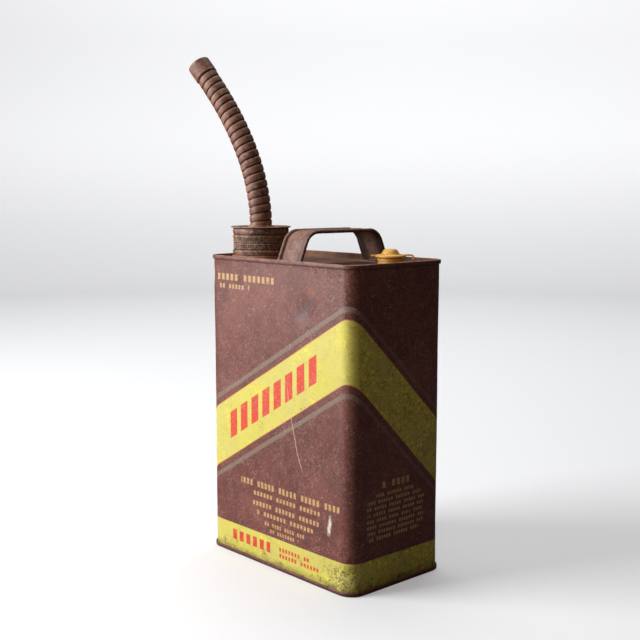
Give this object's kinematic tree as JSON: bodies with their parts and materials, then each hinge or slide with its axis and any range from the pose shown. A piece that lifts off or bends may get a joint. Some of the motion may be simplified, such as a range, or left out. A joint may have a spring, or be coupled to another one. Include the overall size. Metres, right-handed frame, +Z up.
{
  "type": "metal gas can",
  "caption": "Rectangular one-gallon metal gas can with a screw-on flexible metal pouring spout, a strap handle and a snap-in plastic vent with a hinged cap.",
  "frame": {"origin": "centre of the can's footprint, in the plane of the bottom rim that it stands on", "axes": "+Z up; X across the broad faces, with the filler at -X and the vent at +X; the front broad face looks along -Y"},
  "size_m": [0.2027, 0.1012, 0.4027],
  "materials": {
    "painted_body": "worn maroon enamel with a yellow chevron band, scratched and rusted",
    "rusted_tin": "worn paint over rusted tinplate",
    "seam_compound": "matte",
    "rusted_neck": "orange-brown rust",
    "rusted_handle": "rusted bare steel",
    "vent_plastic": "aged yellow, slightly waxy",
    "gasket_rubber": "matte",
    "rusted_collar": "dark rust over plated steel",
    "rusted_hose": "brown rust over plated steel strip"
  },
  "bodies": {
    "can": {"body_shell": "painted_body", "top_end": "rusted_tin", "bottom_end": "rusted_tin", "top_seam_compound": "seam_compound", "bottom_seam_compound": "seam_compound", "filler_neck": "rusted_neck", "neck_thread": "rusted_neck", "handle": "rusted_handle", "vent_seat": "vent_plastic"},
    "vent_cap": {"vent_cap": "vent_plastic", "vent_strap": "vent_plastic"},
    "gasket": {"neck_gasket": "gasket_rubber"},
    "collar": {"spout_collar": "rusted_collar"},
    "spout": {"spout_flange": "rusted_collar", "hose_section_1": "rusted_hose"},
    "hose_2": {"hose_section_2": "rusted_hose"},
    "hose_3": {"hose_section_3": "rusted_hose"},
    "hose_4": {"hose_section_4": "rusted_hose"},
    "hose_5": {"hose_section_5": "rusted_hose"},
    "hose_6": {"hose_section_6": "rusted_hose"},
    "hose_7": {"hose_section_7": "rusted_hose", "spout_tip": "rusted_hose"}
  },
  "joints": [
    {"name": "spout_lift", "type": "slide", "parent": "can", "child": "gasket", "axis": [0, 0, 1], "range_m": [0, 0.012]},
    {"name": "collar_screw", "type": "hinge", "parent": "gasket", "child": "collar", "pos_m": [-0.05315, -0.0195, 0.2545], "axis": [0, 0, 1], "range_deg": [0, 1080]},
    {"name": "spout_swivel", "type": "hinge", "parent": "gasket", "child": "spout", "pos_m": [-0.05315, -0.0195, 0.2645], "axis": [0, 0, 1], "continuous": true},
    {"name": "spout_bend_1", "type": "hinge", "parent": "spout", "child": "hose_2", "pos_m": [-0.05315, -0.0195, 0.2779], "axis": [0.309, -0.9511, 0], "range_deg": [-13, 11]},
    {"name": "spout_bend_2", "type": "hinge", "parent": "hose_2", "child": "hose_3", "pos_m": [-0.05695, -0.02073, 0.30055], "axis": [0.309, -0.9511, 0], "range_deg": [-13, 11]},
    {"name": "spout_bend_3", "type": "hinge", "parent": "hose_3", "child": "hose_4", "pos_m": [-0.06393, -0.023, 0.32235], "axis": [0.309, -0.9511, 0], "range_deg": [-13, 11]},
    {"name": "spout_bend_4", "type": "hinge", "parent": "hose_4", "child": "hose_5", "pos_m": [-0.07345, -0.02609, 0.34306], "axis": [0.309, -0.9511, 0], "range_deg": [-13, 11]},
    {"name": "spout_bend_5", "type": "hinge", "parent": "hose_5", "child": "hose_6", "pos_m": [-0.08491, -0.02982, 0.36265], "axis": [0.309, -0.9511, 0], "range_deg": [-13, 11]},
    {"name": "spout_bend_6", "type": "hinge", "parent": "hose_6", "child": "hose_7", "pos_m": [-0.09777, -0.034, 0.38125], "axis": [0.309, -0.9511, 0], "range_deg": [-13, 11]},
    {"name": "vent_cap_hinge", "type": "hinge", "parent": "can", "child": "vent_cap", "pos_m": [0.06497, 0.03082, 0.2436], "axis": [-0.7071, 0.7071, 0], "range_deg": [0, 140], "deforming": ["vent_strap"]}
  ],
  "couplings": [
    {"joint": "collar_screw", "follows": "spout_lift", "rad_per_m": 1570.8},
    {"joint": "spout_bend_2", "follows": "spout_bend_1", "ratio": 1},
    {"joint": "spout_bend_3", "follows": "spout_bend_1", "ratio": 1},
    {"joint": "spout_bend_4", "follows": "spout_bend_1", "ratio": 1},
    {"joint": "spout_bend_5", "follows": "spout_bend_1", "ratio": 1},
    {"joint": "spout_bend_6", "follows": "spout_bend_1", "ratio": 1}
  ]
}
